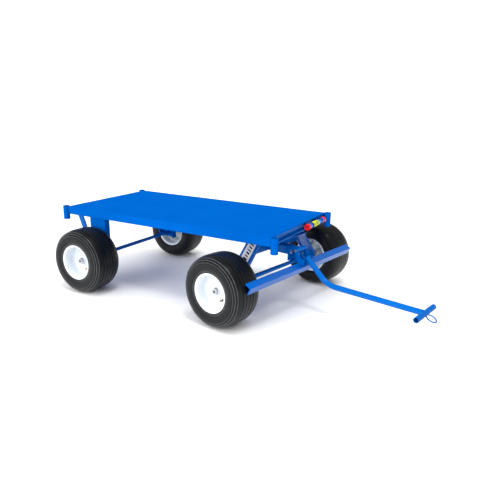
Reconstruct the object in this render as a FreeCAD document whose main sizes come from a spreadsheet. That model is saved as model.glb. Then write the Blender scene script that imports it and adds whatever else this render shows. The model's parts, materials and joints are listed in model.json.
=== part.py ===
"""Four-wheel platform trolley with a turntable-steered front axle and a hinged tow tongue.

Frame: +X towards the tongue, +Y to the trolley's left, +Z up, millimetres.  The origin is on the
ground under the middle of the whole trolley, tongue included.  The trolley stands with its front
axle turned a little to the right, its tongue lowered and its brake bar just clear of the tyres.
"""
import FreeCAD, Part
import math
import os
import Sketcher

Vector = FreeCAD.Vector
Rotation = FreeCAD.Rotation
Placement = FreeCAD.Placement

doc = FreeCAD.newDocument("platform_trolley")
sheet = doc.addObject("Spreadsheet::Sheet", "sizes")
parts = []


# ---------------------------------------------------------------- sizes kept in the spreadsheet

class Size:
    """A number together with the spreadsheet expression that gives it."""

    def __init__(self, value, text):
        self.value = float(value)
        self.text = text

    def __add__(self, other):
        other = as_size(other)
        return Size(self.value + other.value, f"({self.text} + {other.text})")

    def __radd__(self, other):
        return as_size(other) + self

    def __sub__(self, other):
        other = as_size(other)
        return Size(self.value - other.value, f"({self.text} - {other.text})")

    def __rsub__(self, other):
        return as_size(other) - self

    def __mul__(self, other):
        other = as_size(other)
        return Size(self.value * other.value, f"({self.text} * {other.text})")

    def __rmul__(self, other):
        return as_size(other) * self

    def __truediv__(self, other):
        other = as_size(other)
        return Size(self.value / other.value, f"({self.text} / {other.text})")

    def __neg__(self):
        return Size(-self.value, f"(0 - {self.text})")


def as_size(number):
    if isinstance(number, Size):
        return number
    return Size(number, f"({float(number):g})")


def sin_of(angle):
    angle = as_size(angle)
    return Size(math.sin(math.radians(angle.value)), f"sin({angle.text} * 1deg)")


def cos_of(angle):
    angle = as_size(angle)
    return Size(math.cos(math.radians(angle.value)), f"cos({angle.text} * 1deg)")


def tan_of(angle):
    return sin_of(angle) / cos_of(angle)


sheet_row = 0


def size(alias, number, note):
    """Adds one driving dimension to the sheet and returns it."""
    global sheet_row
    sheet_row += 1
    sheet.set(f"A{sheet_row}", alias)
    sheet.set(f"B{sheet_row}", f"{number:g}")
    sheet.setAlias(f"B{sheet_row}", alias)
    sheet.set(f"C{sheet_row}", note)
    return Size(number, f"sizes.{alias}")


deck_length = size("deck_length", 1524, "deck, along X (60 in)")
deck_width = size("deck_width", 762, "deck, along Y (30 in)")
deck_top = size("deck_top", 505, "height of the deck's top face")
plate_thick = size("plate_thick", 5, "deck sheet")
channel_depth = size("channel_depth", 46, "deck frame channels, height")
channel_flange = size("channel_flange", 25, "deck frame channels, flange width")
channel_wall = size("channel_wall", 4, "deck frame channels, wall")
member_pitch = size("member_pitch", 240, "spacing of the cross members")
member_count = 6

socket_outer = size("socket_outer", 21.1, "stake socket, outer radius")
socket_inner = size("socket_inner", 17.5, "stake socket, bore radius")
socket_height = size("socket_height", 89, "stake socket, length")
socket_stand = size("socket_stand", 2, "stake socket top above the deck")
socket_side = size("socket_side", 380, "stake socket axis from the centreline")

tyre_radius = size("tyre_radius", 203.5, "tyre, outside radius (16 in)")
tyre_half = size("tyre_half", 103, "tyre, half width")
front_half_track = size("front_half_track", 489, "front wheel centre from the centreline")
rear_half_track = size("rear_half_track", 480, "rear wheel centre from the centreline")
rim_flange = size("rim_flange", 112, "rim, flange radius")
rim_half = size("rim_half", 97, "rim, half width")
rim_seat = size("rim_seat", 101, "rim, bead seat radius")
rim_well = size("rim_well", 88, "rim, well radius")
rim_wall = size("rim_wall", 4, "rim, sheet thickness")
hub_half = size("hub_half", 46, "hub tube, half length")
hub_outer = size("hub_outer", 24, "hub tube, outer radius")
hub_inner = size("hub_inner", 20, "hub tube, inner radius")
bearing_width = size("bearing_width", 15, "wheel bearing, width")
axle_radius = size("axle_radius", 12.5, "axle bar radius")
cap_skirt = size("cap_skirt", 8, "axle end cap, length of its skirt")
axle_washer = size("axle_washer", 2.5, "axle washer, thickness")
running_gap = size("running_gap", 0.05, "radial clearance of a running fit")
parting = size("parting", 0.3, "gap between neighbouring moving pieces")

deck_centre_x = size("deck_centre_x", -394, "deck centre from the middle of the whole trolley")
rear_axle_x = size("rear_axle_x", -510, "rear axle from the deck centre")
king_x = size("king_x", 604, "king pin and front axle from the deck centre")
steer_angle = size("steer_angle", 10, "front axle turned to the right as stored, degrees")

rear_leg_width = size("rear_leg_width", 130, "rear leg channel, along X")
rear_leg_flange = size("rear_leg_flange", 42, "rear leg channel, flange")
rear_leg_outer = size("rear_leg_outer", 371, "rear leg's outer face from the centreline")
leg_wall = size("leg_wall", 6, "leg channels, wall")
leg_foot = size("leg_foot", 32, "leg below the axle centre")
brace_top_x = size("brace_top_x", -685, "rear brace, back corner at the deck frame")
brace_width = size("brace_width", 38, "rear brace angle, leg width")
brace_wall = size("brace_wall", 5, "rear brace angle, wall")
brace_slope = size("brace_slope", 67.5, "rear brace above the horizontal, degrees")

bolster_top = size("bolster_top", 424, "top face of the front bolster")
bolster_half = size("bolster_half", 209, "bolster's half length at its top face")
bolster_flange = size("bolster_flange", 16, "bolster and front leg channels, depth")
bolster_width = size("bolster_width", 93, "bolster and front leg channels, width")
front_leg_slope = size("front_leg_slope", 47, "front leg below the horizontal, degrees")
front_leg_end = size("front_leg_end", 373, "front leg's end from the centreline")
end_plate_thick = size("end_plate_thick", 8, "axle end plate")
tie_thick = size("tie_thick", 8, "cross tie and beam hanger plates")
turntable_half = size("turntable_half", 132, "turntable plates, half side")
turntable_thick = size("turntable_thick", 6, "turntable plates")
race_outer = size("race_outer", 122, "bearing races, outer radius")
race_inner = size("race_inner", 98, "bearing races, inner radius")
race_gap = size("race_gap", 0.6, "gap between the races")
ball_radius = size("ball_radius", 6, "turntable balls")
ball_circle = size("ball_circle", 110, "turntable balls, pitch radius")
ball_count = 24
king_radius = size("king_radius", 12.5, "king pin radius")

beam_size = size("beam_size", 50, "drawbar beam, square tube")
beam_wall = size("beam_wall", 5, "drawbar beam, wall")
beam_bottom = size("beam_bottom", 321, "drawbar beam, underside")
beam_front = size("beam_front", 114, "drawbar beam's front end from the king pin")
pivot_x = size("pivot_x", 178, "tongue hinge from the king pin")
pivot_z = size("pivot_z", 361, "tongue hinge height")
knuckle_radius = size("knuckle_radius", 12.5, "hinge knuckles, outer radius")
hinge_pin_radius = size("hinge_pin_radius", 6.35, "hinge pin radius")
knuckle_inner = size("knuckle_inner", 17, "centre knuckle, half length")
knuckle_outer = size("knuckle_outer", 48, "tongue knuckles' outer ends from the centreline")
cheek_thick = size("cheek_thick", 6, "yoke plates")

bar_x = size("bar_x", 230.5, "brake bar's nose from the king pin")
bar_z = size("bar_z", 268.3, "brake bar's nose height")
bar_leg = size("bar_leg", 42, "brake bar angle, leg")
bar_wall = size("bar_wall", 5, "brake bar angle, wall")
bar_tilt = size("bar_tilt", 27.4, "brake bar's top leg above the horizontal, degrees")
bar_half = size("bar_half", 518, "brake bar, half length")

tube_radius = size("tube_radius", 16, "tongue tube, outer radius")
tube_wall = size("tube_wall", 3.2, "tongue and handle tube, wall")
tongue_start_x = size("tongue_start_x", 228, "tongue tube's upper end from the king pin")
tongue_start_z = size("tongue_start_z", 321.2, "tongue tube's upper end height")
tongue_slope = size("tongue_slope", 43.2, "tongue's steep part below the horizontal, degrees")
tongue_droop = size("tongue_droop", 1.13, "tongue's long part below the horizontal, degrees")
tongue_knee_x = size("tongue_knee_x", 373.4, "where the two straight parts would meet")
tongue_bend = size("tongue_bend", 150, "tongue bend radius")
handle_x = size("handle_x", 940.6, "T handle from the king pin")
handle_half = size("handle_half", 115, "T handle, half length")
handle_radius = size("handle_radius", 15, "T handle, outer radius")
ring_radius = size("ring_radius", 27, "hitch ring, radius to the rod's centre")
ring_rod = size("ring_rod", 3.5, "hitch ring, rod radius")
ring_tilt = size("ring_tilt", 25, "hitch ring hangs below the horizontal, degrees")
ring_reach = size("ring_reach", 34.4, "hitch ring's centre ahead of the handle")
ring_drop = size("ring_drop", 18.5, "hitch ring's centre below the handle")

holder_x = size("holder_x", 785, "document tube axis along X")
holder_z = size("holder_z", 477, "document tube axis height")
holder_near = size("holder_near", 48, "document tube, right end")
holder_far = size("holder_far", 296, "document tube, left end")
holder_radius = size("holder_radius", 16.5, "document tube, outer radius")
holder_wall = size("holder_wall", 2, "document tube, wall")
cap_wall = size("cap_wall", 2.5, "document tube caps, wall")
cap_length = size("cap_length", 16, "document tube caps, length")
doc.recompute()

frame_top = deck_top - plate_thick
frame_bottom = frame_top - channel_depth
half_length = deck_length / 2
half_width = deck_width / 2


# ---------------------------------------------------------------- where a piece's own frame lies

class Place:
    """Where a body's own frame lies in the trolley's frame: a point and a turn about +Z."""

    def __init__(self, x, y, z, turn):
        self.x = as_size(x)
        self.y = as_size(y)
        self.z = as_size(z)
        self.turn = as_size(turn)


CHASSIS = Place(deck_centre_x, 0, 0, 0)
KING_PIN = Place(deck_centre_x + king_x, 0, 0, 0)
STEERED = Place(deck_centre_x + king_x, 0, 0, -steer_angle)


def wheel_place(end, side):
    """A wheel's frame: its axis is +Y, pointing outwards.  side is +1 for left and -1 for right."""
    turn = -steer_angle if end == "front" else as_size(0)
    middle = deck_centre_x + (king_x if end == "front" else rear_axle_x)
    reach = (front_half_track if end == "front" else rear_half_track) * side
    facing = turn if side > 0 else turn + 180
    return Place(middle - reach * sin_of(turn), reach * cos_of(turn), tyre_radius, facing)


def put(piece, place):
    """Binds a piece's Placement to its place."""
    middle = Vector(place.x.value, place.y.value, place.z.value)
    piece.Placement = Placement(middle, Rotation(Vector(0, 0, 1), place.turn.value))
    piece.setExpression("Placement.Base.x", place.x.text)
    piece.setExpression("Placement.Base.y", place.y.text)
    piece.setExpression("Placement.Base.z", place.z.text)


# ---------------------------------------------------------------- bodies, sketches and features

def new_body(label, place):
    body = doc.addObject("PartDesign::Body", label)
    body.Label = label
    body.AllowCompound = True
    put(body, place)
    parts.append(body)
    return body


def new_sketch(body, role, offset=0):
    """A sketch on one of the body's own origin planes, moved along that plane's normal."""
    offset = as_size(offset)
    sketch = body.newObject("Sketcher::SketchObject", f"{body.Name}_sketch")
    planes = [f for f in body.Origin.OriginFeatures if f.Role == role]
    sketch.AttachmentSupport = (planes[0], [""])
    sketch.MapMode = "FlatFace"
    sketch.AttachmentOffset = Placement(Vector(0, 0, offset.value), Rotation())
    sketch.setExpression(".AttachmentOffset.Base.z", offset.text)
    return sketch


def pin_point(sketch, element, vertex, point):
    """Fixes one vertex of a sketch at a point given by two sizes."""
    for kind, number in zip(("DistanceX", "DistanceY"), point):
        number = as_size(number)
        index = sketch.addConstraint(Sketcher.Constraint(kind, element, vertex, number.value))
        sketch.setExpression(f"Constraints[{index}]", number.text)


def add_outline(sketch, points):
    """A closed outline of straight lines through the points."""
    corners = [Vector(as_size(a).value, as_size(b).value, 0) for a, b in points]
    count = len(corners)
    lines = []
    for i in range(count):
        edge = Part.LineSegment(corners[i], corners[(i + 1) % count])
        lines.append(sketch.addGeometry(edge, False))
    for i in range(count):
        sketch.addConstraint(Sketcher.Constraint("Coincident", lines[i], 2, lines[(i + 1) % count], 1))
        pin_point(sketch, lines[i], 1, points[i])


def add_circle(sketch, centre, radius):
    radius = as_size(radius)
    middle = Vector(as_size(centre[0]).value, as_size(centre[1]).value, 0)
    circle = sketch.addGeometry(Part.Circle(middle, Vector(0, 0, 1), radius.value), False)
    index = sketch.addConstraint(Sketcher.Constraint("Radius", circle, radius.value))
    sketch.setExpression(f"Constraints[{index}]", radius.text)
    pin_point(sketch, circle, 3, centre)


def box_points(a0, a1, b0, b1):
    return [(a0, b0), (a1, b0), (a1, b1), (a0, b1)]


def pad(body, sketch, length, midplane=False, reverse=False):
    length = as_size(length)
    feature = body.newObject("PartDesign::Pad", f"{body.Name}_pad")
    feature.Profile = sketch
    feature.Length = length.value
    feature.setExpression("Length", length.text)
    feature.Midplane = midplane
    feature.Reversed = reverse
    doc.recompute()
    return feature


def pocket(body, sketch, length, midplane=True):
    """Cuts a sketch's shape out of the body, and makes sure that something was cut."""
    length = as_size(length)
    before = body.Shape.Volume
    feature = body.newObject("PartDesign::Pocket", f"{body.Name}_pocket")
    feature.Profile = sketch
    feature.Length = length.value
    feature.setExpression("Length", length.text)
    feature.Midplane = midplane
    doc.recompute()
    if not body.Shape.Volume < before - 1:
        raise RuntimeError(f"{body.Label}: a pocket cut nothing")
    return feature


def revolve(body, sketch, cut=False):
    """Turns a sketch in the XY plane a full turn about the body's Y axis."""
    before = body.Shape.Volume if cut else 0
    kind = "PartDesign::Groove" if cut else "PartDesign::Revolution"
    feature = body.newObject(kind, f"{body.Name}_turned")
    feature.Profile = sketch
    feature.ReferenceAxis = (sketch, ["V_Axis"])
    feature.Angle = 360
    doc.recompute()
    if cut and not body.Shape.Volume < before - 1:
        raise RuntimeError(f"{body.Label}: a groove cut nothing")
    return feature


def pad_outline(body, role, points, offset, length, midplane=False, reverse=False):
    sketch = new_sketch(body, role, offset)
    add_outline(sketch, points)
    return pad(body, sketch, length, midplane, reverse)


def pad_ring(body, role, centre, outer, inner, offset, length, midplane=False):
    """A round bar, or a tube where inner is given."""
    sketch = new_sketch(body, role, offset)
    add_circle(sketch, centre, outer)
    if inner is not None:
        add_circle(sketch, centre, inner)
    return pad(body, sketch, length, midplane)


def cut_round(body, role, centre, radius, offset, length):
    """A round hole along a plane's normal, centred on the plane moved by offset."""
    sketch = new_sketch(body, role, offset)
    add_circle(sketch, centre, radius)
    return pocket(body, sketch, length)


def cut_outline(body, role, points, offset, length):
    sketch = new_sketch(body, role, offset)
    add_outline(sketch, points)
    return pocket(body, sketch, length)


def turn_outline(body, points, cut=False):
    sketch = new_sketch(body, "XY_Plane")
    add_outline(sketch, points)
    return revolve(body, sketch, cut)


def hexagon(centre, across):
    """The six corners of a hexagon with one flat upwards, across being its width over the flats."""
    corner = as_size(across) / math.sqrt(3)
    a, b = centre
    return [(a + corner * math.cos(math.radians(60 * i)), b + corner * math.sin(math.radians(60 * i)))
            for i in range(6)]


# ---------------------------------------------------------------- the deck and its frame

def channel_points(back, top, bottom, flange, wall, facing):
    """A C section in a plane: back is its web's outer face, facing is +1 where it opens to +."""
    tip = back + flange * facing
    web = back + wall * facing
    return [(back, top), (back, bottom), (tip, bottom), (tip, bottom + wall), (web, bottom + wall),
            (web, top - wall), (tip, top - wall), (tip, top)]


def make_deck_plate():
    body = new_body("deck_plate", CHASSIS)
    points = box_points(-half_length, half_length, -half_width, half_width)
    pad_outline(body, "XY_Plane", points, frame_top, plate_thick)


def make_side_channel(label, side):
    """The full length of the deck, its web flush with the deck's side, open inwards."""
    body = new_body(label, CHASSIS)
    points = channel_points(half_width * side, frame_top, frame_bottom, channel_flange, channel_wall, -side)
    pad_outline(body, "YZ_Plane", points, 0, deck_length, midplane=True)


def make_end_channel(label, end):
    """Between the side channels, open outwards, its flange tips flush with the end of the deck."""
    body = new_body(label, CHASSIS)
    back = (half_length - channel_flange) * end
    points = channel_points(back, frame_top, frame_bottom, channel_flange, channel_wall, end)
    pad_outline(body, "XZ_Plane", points, 0, deck_width - channel_flange * 2, midplane=True)


def make_cross_members():
    body = new_body("cross_members", CHASSIS)
    points = channel_points(rear_axle_x, frame_top, frame_bottom, channel_flange, channel_wall, 1)
    first = pad_outline(body, "XZ_Plane", points, 0, deck_width - channel_flange * 2, midplane=True)
    pattern = body.newObject("PartDesign::LinearPattern", "cross_member_row")
    pattern.Originals = [first]
    axes = [f for f in body.Origin.OriginFeatures if f.Role == "X_Axis"]
    pattern.Direction = (axes[0], [""])
    span = member_pitch * (member_count - 1)
    pattern.Length = span.value
    pattern.setExpression("Length", span.text)
    pattern.Occurrences = member_count
    body.Tip = pattern
    doc.recompute()


def make_corner_sockets():
    """Stake sockets: short pipes welded upright to the ends of the side channels."""
    body = new_body("corner_sockets", CHASSIS)
    low = deck_top + socket_stand - socket_height
    for end in (1, -1):
        for side in (1, -1):
            centre = ((half_length + socket_outer) * end, socket_side * side)
            pad_ring(body, "XY_Plane", centre, socket_outer, socket_inner, low, socket_height)


def make_rear_leg(label, side):
    """An upright channel from the deck frame down past the axle, open inwards."""
    body = new_body(label, CHASSIS)
    front = rear_axle_x + rear_leg_width / 2
    back = rear_axle_x - rear_leg_width / 2
    outer = rear_leg_outer * side
    web = (rear_leg_outer - leg_wall) * side
    tip = (rear_leg_outer - rear_leg_flange) * side
    points = [(back, outer), (front, outer), (front, tip), (front - leg_wall, tip), (front - leg_wall, web),
              (back + leg_wall, web), (back + leg_wall, tip), (back, tip)]
    foot = tyre_radius - leg_foot
    pad_outline(body, "XY_Plane", points, foot, frame_bottom - foot)
    cut_round(body, "XZ_Plane", (rear_axle_x, tyre_radius), axle_radius + running_gap, 0, deck_width)


def make_rear_brace(label, side):
    """An angle iron from the back of the deck frame down to the back of the leg."""
    body = new_body(label, CHASSIS)
    rise = tan_of(brace_slope)
    leg_back = rear_axle_x - rear_leg_width / 2
    foot_back = frame_bottom - (leg_back - brace_top_x) * rise
    outer = rear_leg_outer * -side
    for width, thick, reach in ((brace_width, brace_wall, 0), (brace_wall, brace_width, brace_wall)):
        run = width / sin_of(brace_slope)
        top_front = brace_top_x + run
        foot_front = frame_bottom - (leg_back - top_front) * rise
        points = [(brace_top_x, frame_bottom), (top_front, frame_bottom), (leg_back, foot_front),
                  (leg_back, foot_back)]
        depth = thick - reach
        pad_outline(body, "XZ_Plane", points, outer + reach * side, depth, reverse=side < 0)


# ---------------------------------------------------------------- axles and wheels

def make_axle(label, place, middle_x, half_track):
    body = new_body(label, place)
    span = (half_track + hub_half + parting + axle_washer + cap_skirt) * 2
    pad_ring(body, "XZ_Plane", (middle_x, tyre_radius), axle_radius, None, 0, span, midplane=True)


def make_axle_hardware(label, place, middle_x, half_track, leg_face):
    """On each side a spacer tube inside the wheel; outside it a washer and an open-ended cap."""
    body = new_body(label, place)
    centre = (middle_x, tyre_radius)
    bore = axle_radius + running_gap
    lip = 3
    for side in (1, -1):
        inner_end = half_track - hub_half - parting
        middle = (leg_face + inner_end) / 2
        pad_ring(body, "XZ_Plane", centre, bore + 5, bore, middle * side, inner_end - leg_face, midplane=True)
        face = half_track + hub_half + parting
        middle = (face + axle_washer / 2) * side
        pad_ring(body, "XZ_Plane", centre, bore + 5.5, bore, middle, axle_washer, midplane=True)
        middle = (face + axle_washer + cap_skirt / 2) * side
        pad_ring(body, "XZ_Plane", centre, bore + 3, bore, middle, cap_skirt, midplane=True)
        middle = (face + axle_washer + cap_skirt + lip / 2) * side
        pad_ring(body, "XZ_Plane", centre, bore + 3, 7.5, middle, lip, midplane=True)


def make_wheel(end, side):
    name = f"{end}_{'left' if side > 0 else 'right'}"
    place = wheel_place(end, side)
    make_tyre(f"tyre_{name}", place)
    make_rim(f"rim_{name}", place)
    make_bearings(f"wheel_bearings_{name}", place)
    make_valve(f"valve_{name}", place, side)


def make_tyre(label, place):
    """A wide low-pressure tyre with a nearly flat tread, five grooves and round shoulders."""
    body = new_body(label, place)
    half = tyre_half
    outer = [(1.0, 0.36), (0.985, 0.60), (0.954, 0.79), (0.91, 0.91), (0.84, 0.98), (0.757, 1.0), (0.66, 0.985),
             (0.59, 0.95)]
    skin = [(tyre_radius * r, half * a) for r, a in outer]
    flange_face = rim_half - rim_wall - 0.2
    bead = [(rim_flange + 1, flange_face), (rim_seat + 4.3, flange_face), (rim_seat + 0.2, flange_face - 4.2),
            (rim_seat + 0.2, half * 0.6)]
    inner = [(rim_seat + 16, half * 0.62), (tyre_radius * 0.74, half * 0.86), (tyre_radius * 0.86, half * 0.80),
             (tyre_radius - 14, half * 0.45)]
    right_hand = skin + bead + inner
    mirrored = [(r, -a) for r, a in reversed(right_hand)]
    turn_outline(body, right_hand + mirrored)
    groove_depth = 5
    for place_across in (-0.58, -0.29, 0, 0.29, 0.58):
        middle = half * place_across
        depth = tyre_radius - groove_depth
        turn_outline(body, box_points(depth, tyre_radius + 5, middle - 2, middle + 2), cut=True)


def make_rim(label, place):
    """Pressed-steel rim with a drop centre, a stepped dished disc and a hub tube."""
    body = new_body(label, place)
    wall = rim_wall
    half = rim_half
    skin = [(rim_flange, half), (rim_flange, half - wall), (rim_seat + 4, half - wall), (rim_seat, half - wall - 4),
            (rim_seat, half * 0.42), (rim_well, half * 0.34)]
    under = [(rim_seat + 2, half), (rim_seat - wall, half - 5), (rim_seat - wall, half * 0.42),
             (rim_well - wall, half * 0.34)]
    across = skin + [(r, -a) for r, a in reversed(skin)]
    back = [(r, -a) for r, a in under] + list(reversed(under))
    turn_outline(body, across + back)
    step = 11
    disc = [(rim_well - wall + 0.5, 30), (rim_well - 12, 30), (rim_well - 17, 30 - step),
            (rim_well - 42, 30 - step), (hub_outer + 6, 34), (hub_outer - 2, 34), (hub_outer - 2, 30),
            (hub_outer + 4, 30), (rim_well - 44, 26 - step), (rim_well - 15, 26 - step),
            (rim_well - 10, 26), (rim_well - wall + 0.5, 26)]
    turn_outline(body, disc)
    turn_outline(body, box_points(hub_inner, hub_outer, -hub_half, hub_half))


def make_bearings(label, place):
    """Two roller bearings, one pressed into each end of the hub tube."""
    body = new_body(label, place)
    bore = axle_radius + running_gap
    for side in (1, -1):
        near = (hub_half - bearing_width) * side
        far = hub_half * side
        turn_outline(body, box_points(bore, hub_inner, near, far))


def make_valve(label, place, side):
    """A rubber valve stem with its cap, standing out of the disc."""
    body = new_body(label, place)
    reach = rim_well - 29
    middle = (reach * 0.5 * side, -reach * 0.87)
    pad_ring(body, "XZ_Plane", middle, 5.5, None, -19, 12, midplane=False)
    body.Tip.Reversed = True
    pad_ring(body, "XZ_Plane", middle, 4, None, -30, 16, midplane=False)
    body.Tip.Reversed = True
    doc.recompute()


# ---------------------------------------------------------------- turntable and steered frame

race_low = bolster_top + turntable_thick
race_high = frame_bottom - turntable_thick
ball_z = (race_low + race_high) / 2


def make_turntable_plate(label, place, low):
    body = new_body(label, place)
    points = box_points(-turntable_half, turntable_half, -turntable_half, turntable_half)
    pad_outline(body, "XY_Plane", points, low, turntable_thick)
    cut_round(body, "XY_Plane", (0, 0), king_radius + running_gap, low, turntable_thick * 3)


def make_race(label, place, low, high):
    """A flat ring with a round groove for the balls, turned about the king pin."""
    body = new_body(label, place)
    pad_ring(body, "XY_Plane", (0, 0), race_outer, race_inner, low, high - low)
    sketch = new_sketch(body, "XZ_Plane")
    add_circle(sketch, (ball_circle, ball_z), ball_radius + running_gap)
    before = body.Shape.Volume
    groove = body.newObject("PartDesign::Groove", f"{label}_track")
    groove.Profile = sketch
    groove.ReferenceAxis = (sketch, ["V_Axis"])
    groove.Angle = 360
    doc.recompute()
    if not body.Shape.Volume < before - 1:
        raise RuntimeError(f"{label}: the ball track cut nothing")


def make_balls():
    """The turntable's balls, spaced round their track."""
    balls = []
    for i in range(ball_count):
        ball = doc.addObject("Part::Sphere", "turntable_ball")
        angle = 360 / ball_count * i
        ball.setExpression("Radius", ball_radius.text)
        along = ball_circle * cos_of(angle)
        across = ball_circle * sin_of(angle)
        put(ball, Place(along, across, ball_z, 0))
        balls.append(ball)
    group = doc.addObject("Part::Compound", "turntable_balls")
    group.Label = "turntable_balls"
    group.Links = balls
    put(group, STEERED)
    parts.append(group)


def make_king_pin():
    """A large bolt with its head under the bolster and its end above the top plate."""
    body = new_body("king_pin", KING_PIN)
    under = bolster_top - leg_wall - parting
    head = 14
    pad_outline(body, "XY_Plane", hexagon((0, 0), 38), under - head, head)
    pad_ring(body, "XY_Plane", (0, 0), king_radius, None, under, frame_bottom + 20 - under)


def make_king_nut():
    body = new_body("king_nut", KING_PIN)
    pad_ring(body, "XY_Plane", (0, 0), 24, king_radius + running_gap, frame_bottom, 3)
    sketch = new_sketch(body, "XY_Plane", frame_bottom + 3.1)
    add_outline(sketch, hexagon((0, 0), 38))
    add_circle(sketch, (0, 0), king_radius + running_gap)
    pad(body, sketch, 15)


leg_cut = bolster_flange / cos_of(front_leg_slope)
web_cut = leg_wall / cos_of(front_leg_slope)
mitre = tan_of(front_leg_slope / 2)
leg_drop = (front_leg_end - bolster_half) * tan_of(front_leg_slope)


def make_bolster():
    """The channel across the top of the front legs, open downwards, its ends mitred."""
    body = new_body("bolster", STEERED)
    low = bolster_top - bolster_flange
    under = bolster_top - leg_wall
    end = bolster_half
    tip = end - bolster_flange * mitre
    points = [(-end, bolster_top), (-tip, low), (tip, low), (end, bolster_top)]
    pad_outline(body, "YZ_Plane", points, 0, bolster_width, midplane=True)
    inner = end - leg_wall * mitre
    hollow = [(-inner, under), (-tip, low), (tip, low), (inner, under)]
    cut_outline(body, "YZ_Plane", hollow, 0, bolster_width - leg_wall * 2)
    cut_round(body, "XY_Plane", (0, 0), king_radius + running_gap, bolster_top, bolster_flange)


def make_front_leg(label, side):
    """A sloping channel, mitred to the bolster above and cut upright at its lower end."""
    body = new_body(label, STEERED)
    low = bolster_top - bolster_flange
    tip = bolster_half - bolster_flange * mitre
    inner = bolster_half - leg_wall * mitre
    foot = bolster_top - leg_drop
    points = [(bolster_half, bolster_top), (tip, low), (front_leg_end, foot - leg_cut), (front_leg_end, foot)]
    hollow = [(inner, bolster_top - leg_wall), (tip, low), (front_leg_end, foot - leg_cut),
              (front_leg_end, foot - web_cut)]
    sided = [(y * side, z) for y, z in points]
    pad_outline(body, "YZ_Plane", sided, 0, bolster_width, midplane=True)
    cut_outline(body, "YZ_Plane", [(y * side, z) for y, z in hollow], 0, bolster_width - leg_wall * 2)


def make_axle_end_plates():
    """Upright plates that close the front legs' ends and hold the axle."""
    body = new_body("axle_end_plates", STEERED)
    low = tyre_radius - leg_foot
    high = bolster_top - leg_drop
    for side in (1, -1):
        middle = (front_leg_end + end_plate_thick / 2) * side
        points = box_points(-bolster_width / 2, bolster_width / 2, low, high)
        pad_outline(body, "XZ_Plane", points, -middle, end_plate_thick, midplane=True)
    cut_round(body, "XZ_Plane", (0, tyre_radius), axle_radius + running_gap, 0, deck_width * 2)


def make_cross_tie():
    """A plate between the legs' webs, behind the drawbar beam."""
    body = new_body("cross_tie", STEERED)
    top = beam_bottom + beam_size
    slope = tan_of(front_leg_slope)
    reach = [bolster_half + (bolster_top - web_cut - z) / slope for z in (beam_bottom, top)]
    points = [(-reach[0], beam_bottom), (reach[0], beam_bottom), (reach[1], top), (-reach[1], top)]
    back = leg_wall - bolster_width / 2
    pad_outline(body, "YZ_Plane", points, back, tie_thick)


def make_drawbar_beam():
    """A square tube from the cross tie forward to the tongue's hinge."""
    body = new_body("drawbar_beam", STEERED)
    back = leg_wall - bolster_width / 2 + tie_thick
    half = beam_size / 2
    top = beam_bottom + beam_size
    pad_outline(body, "YZ_Plane", box_points(-half, half, beam_bottom, top), back, beam_front - back)
    hollow = box_points(beam_wall - half, half - beam_wall, beam_bottom + beam_wall, top - beam_wall)
    cut_outline(body, "YZ_Plane", hollow, back, (beam_front - back) * 2.2)


def make_beam_hanger():
    """Two upright plates that tie the beam's top to the bolster's flanges."""
    body = new_body("beam_hanger", STEERED)
    half = beam_size / 2
    low = beam_bottom + beam_size
    inside = bolster_width / 2 - leg_wall
    for back in (inside - tie_thick, -inside):
        points = box_points(-half, half, low, bolster_top - leg_wall - 6)
        pad_outline(body, "YZ_Plane", points, back, tie_thick)


def make_hinge_bracket():
    """The plate on the beam's end, with the arm and centre knuckle that carry the tongue."""
    body = new_body("hinge_bracket", STEERED)
    plate_thick_here = 8
    half = 36
    low = 287
    high = 374
    chamfer = 12
    points = [(-half, low), (half, low), (half, high - chamfer), (half - chamfer, high), (chamfer - half, high),
              (-half, high - chamfer)]
    pad_outline(body, "YZ_Plane", points, beam_front, plate_thick_here)
    face = beam_front + plate_thick_here
    arm = box_points(face, pivot_x, pivot_z - 11, pivot_z + 11)
    pad_outline(body, "XZ_Plane", arm, 0, knuckle_inner * 2 - 4, midplane=True)
    pad_ring(body, "XZ_Plane", (pivot_x, pivot_z), knuckle_radius, None, 0, knuckle_inner * 2, midplane=True)
    cut_round(body, "XZ_Plane", (pivot_x, pivot_z), hinge_pin_radius + running_gap, 0, 200)


def make_hex_bolts(label, place, face_x, height, spread, across, head):
    """Hex bolt heads on an upright face, their axes along X."""
    body = new_body(label, place)
    for side in (1, -1):
        pad_outline(body, "YZ_Plane", hexagon((spread * side, height), across), face_x, head)


def make_hinge_pin():
    """The pin through the three knuckles, with a head at its right end and a split pin at its left."""
    body = new_body("hinge_pin", STEERED)
    centre = (pivot_x, pivot_z)
    reach = knuckle_outer + 9
    pad_ring(body, "XZ_Plane", centre, hinge_pin_radius, None, 0, reach * 2, midplane=True)
    pad_ring(body, "XZ_Plane", centre, 9.5, None, knuckle_outer + 3 + parting, 6, midplane=True)
    pad_ring(body, "YZ_Plane", (knuckle_outer + 5, pivot_z), 1.6, None, pivot_x, 26, midplane=True)


# ---------------------------------------------------------------- the tongue

def make_tongue_knuckles():
    body = new_body("tongue_knuckles", STEERED)
    near = knuckle_inner + parting
    middle = (near + knuckle_outer) / 2
    for side in (1, -1):
        pad_ring(body, "XZ_Plane", (pivot_x, pivot_z), knuckle_radius, hinge_pin_radius + running_gap,
                 middle * side, knuckle_outer - near, midplane=True)


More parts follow.
